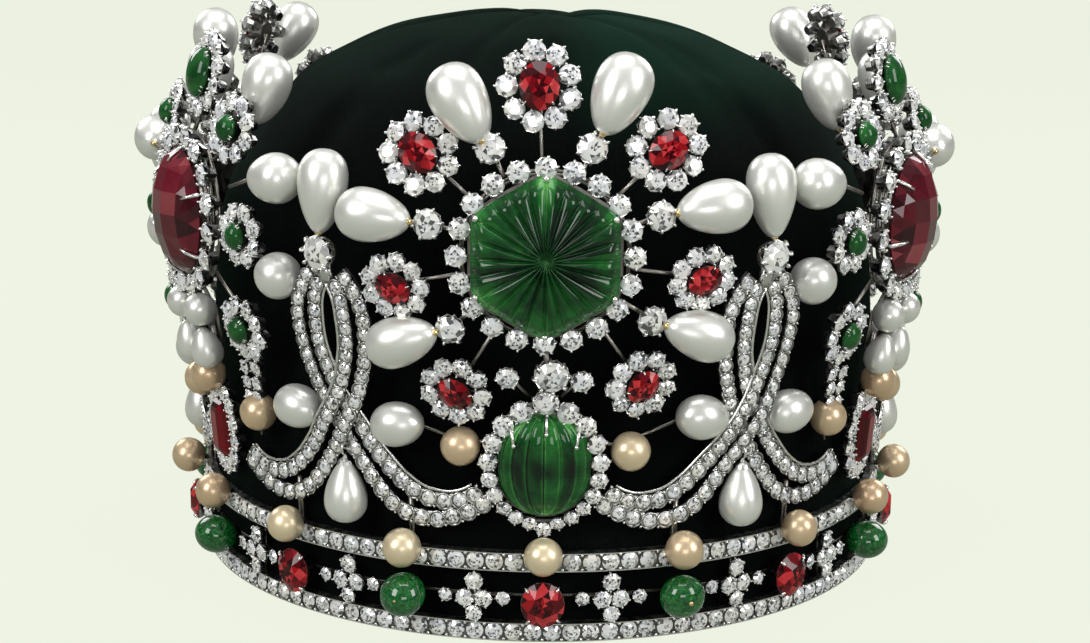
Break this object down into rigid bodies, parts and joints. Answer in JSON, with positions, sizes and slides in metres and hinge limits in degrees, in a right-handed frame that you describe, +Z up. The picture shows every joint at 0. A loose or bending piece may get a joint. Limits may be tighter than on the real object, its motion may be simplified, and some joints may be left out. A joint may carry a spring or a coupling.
{
  "type": "jewelled crown",
  "caption": "Open jewelled crown: a gem-set metal band carries tall sunburst, rosette and ribbon-leaf ornaments round a puffed velvet cap, with hanging pearls that swing.",
  "frame": {"origin": "centre of the head opening in the plane of the band's foot", "axes": "+Z up along the crown's axis, -Y towards the front sunburst"},
  "size_m": [0.2104, 0.2135, 0.138],
  "materials": {
    "platinum": "polished platinum, darkened in the recesses",
    "pave": "close-set brilliant-cut diamonds in platinum",
    "emerald": "deep green transparent gemstone",
    "ruby": "red transparent gemstone",
    "red_stone": "dark red transparent gemstone, chequer-cut dome",
    "white_pearl": "white pearl with soft lustre",
    "golden_pearl": "golden and cream pearl with soft lustre",
    "velvet": "near-black green silk velvet",
    "lining": "dark woven head band"
  },
  "bodies": {
    "crown": {"lower_rail": "pave", "upper_rail": "pave", "band_struts": "platinum", "band_stones": "ruby", "band_pearls": "golden_pearl", "velvet_cap": "velvet", "head_band": "lining", "sunburst_frame_front": "platinum", "hexagon_emerald_front": "emerald", "fluted_emerald_front": "emerald", "ruby_spray_front": "ruby", "pearl_spray_front": "white_pearl", "sunburst_frame_right": "platinum", "hexagon_emerald_right": "emerald", "fluted_emerald_right": "emerald", "ruby_spray_right": "ruby", "pearl_spray_right": "white_pearl", "sunburst_frame_left": "platinum", "hexagon_emerald_left": "emerald", "fluted_emerald_left": "emerald", "ruby_spray_left": "ruby", "pearl_spray_left": "white_pearl", "rosette_frame_right": "platinum", "red_stone_right": "red_stone", "ruby_bar_right": "ruby", "emerald_spray_right": "emerald", "rosette_pearls_right": "white_pearl", "rosette_frame_back": "platinum", "red_stone_back": "red_stone", "ruby_bar_back": "ruby", "emerald_spray_back": "emerald", "rosette_pearls_back": "white_pearl", "rosette_frame_left": "platinum", "red_stone_left": "red_stone", "ruby_bar_left": "ruby", "emerald_spray_left": "emerald", "rosette_pearls_left": "white_pearl", "ribbon_leaf_1": "pave", "leaf_pearl_1": "white_pearl", "ribbon_leaf_2": "pave", "leaf_pearl_2": "white_pearl", "ribbon_leaf_3": "pave", "leaf_pearl_3": "white_pearl", "ribbon_leaf_4": "pave", "leaf_pearl_4": "white_pearl", "ribbon_leaf_5": "pave", "leaf_pearl_5": "white_pearl", "ribbon_leaf_6": "pave", "leaf_pearl_6": "white_pearl"},
    "hanging_pearl_1": {"hanging_pearl_1": "white_pearl"},
    "hanging_pearl_2": {"hanging_pearl_2": "white_pearl"},
    "hanging_pearl_3": {"hanging_pearl_3": "white_pearl"},
    "hanging_pearl_4": {"hanging_pearl_4": "white_pearl"},
    "hanging_pearl_5": {"hanging_pearl_5": "white_pearl"},
    "hanging_pearl_6": {"hanging_pearl_6": "white_pearl"}
  },
  "joints": [
    {"name": "hanging_pearl_1_swing", "type": "hinge", "parent": "crown", "child": "hanging_pearl_1", "pos_m": [0.0458, -0.07933, 0.043], "axis": [-0.866, -0.5, 0], "range_deg": [-4, 40]},
    {"name": "hanging_pearl_2_swing", "type": "hinge", "parent": "crown", "child": "hanging_pearl_2", "pos_m": [0.0916, 0, 0.043], "axis": [0, -1, 0], "range_deg": [-4, 40]},
    {"name": "hanging_pearl_3_swing", "type": "hinge", "parent": "crown", "child": "hanging_pearl_3", "pos_m": [0.0458, 0.07933, 0.043], "axis": [0.866, -0.5, 0], "range_deg": [-4, 40]},
    {"name": "hanging_pearl_4_swing", "type": "hinge", "parent": "crown", "child": "hanging_pearl_4", "pos_m": [-0.0458, 0.07933, 0.043], "axis": [0.866, 0.5, 0], "range_deg": [-4, 40]},
    {"name": "hanging_pearl_5_swing", "type": "hinge", "parent": "crown", "child": "hanging_pearl_5", "pos_m": [-0.0916, 0, 0.043], "axis": [0, 1, 0], "range_deg": [-4, 40]},
    {"name": "hanging_pearl_6_swing", "type": "hinge", "parent": "crown", "child": "hanging_pearl_6", "pos_m": [-0.0458, -0.07933, 0.043], "axis": [-0.866, 0.5, 0], "range_deg": [-4, 40]}
  ]
}
